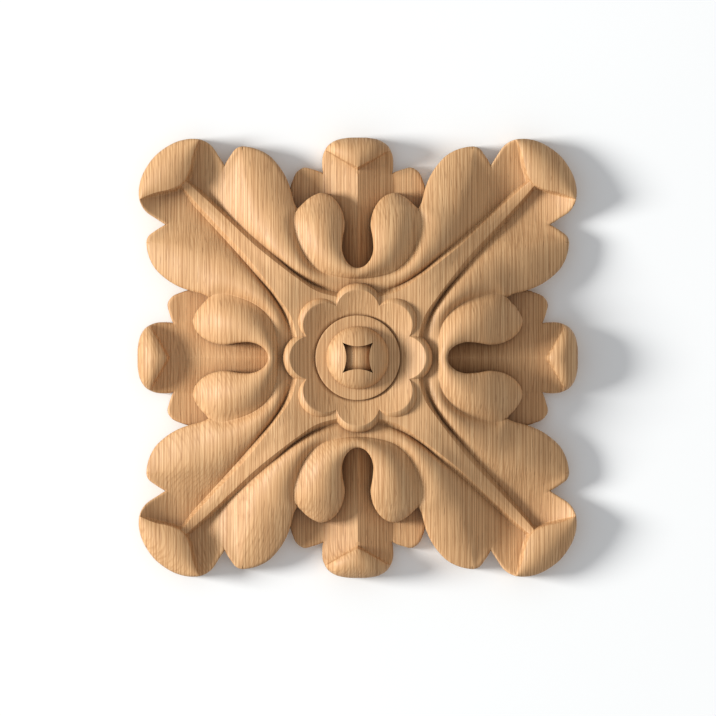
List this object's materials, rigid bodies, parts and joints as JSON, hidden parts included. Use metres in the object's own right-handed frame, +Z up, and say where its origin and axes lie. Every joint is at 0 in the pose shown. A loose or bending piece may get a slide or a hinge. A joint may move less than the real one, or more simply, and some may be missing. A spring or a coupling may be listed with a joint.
{
  "type": "carved rosette",
  "caption": "Square carved wooden applique with four acanthus corner leaves, lower leaves on the axes and a lobed flower at the centre, flat at the back.",
  "frame": {"origin": "centre of the flat back, where the rosette is glued or fixed to what carries it", "axes": "+X to the right as the viewer sees it, +Y out of the back into the surface that carries it, +Z up along the wood grain"},
  "size_m": [0.1, 0.017, 0.1],
  "materials": {
    "oak": "bare oak, sanded, straight grain running up the square"
  },
  "bodies": {
    "root": {"rosette": "oak"}
  },
  "joints": []
}
